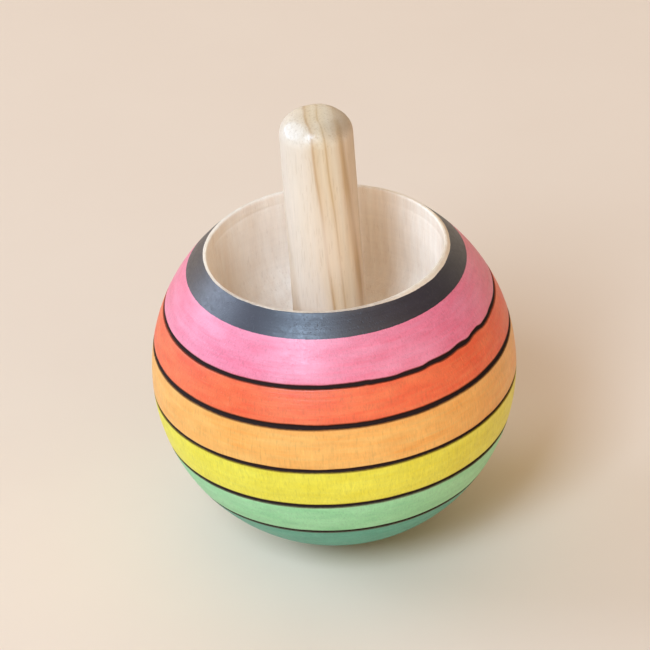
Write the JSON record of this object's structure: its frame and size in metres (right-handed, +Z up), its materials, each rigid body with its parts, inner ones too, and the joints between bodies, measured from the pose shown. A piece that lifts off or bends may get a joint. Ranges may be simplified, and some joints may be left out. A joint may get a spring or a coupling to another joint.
{
  "type": "spinning top",
  "caption": "Turned wooden tippe top: a lacquered ball, cut open and hollowed to a cup, with a dowel stem glued inside. Spun by the stem, it turns over and spins upside down.",
  "frame": {"origin": "centre of the small flat under the ball, the point the top stands on", "axes": "+Z up along the stem, from the foot to the stem's free end; the top is a solid of revolution about Z, so X and Y are any two directions square to it"},
  "size_m": [0.04, 0.04, 0.0518],
  "materials": {
    "lacquered_wood": "coloured bands of satin lacquer with dark burnt lines between them; bare inside the cup",
    "bare_wood": "bare, fine sanded, grain along the stem"
  },
  "bodies": {
    "root": {"ball": "lacquered_wood", "stem": "bare_wood"}
  },
  "joints": []
}
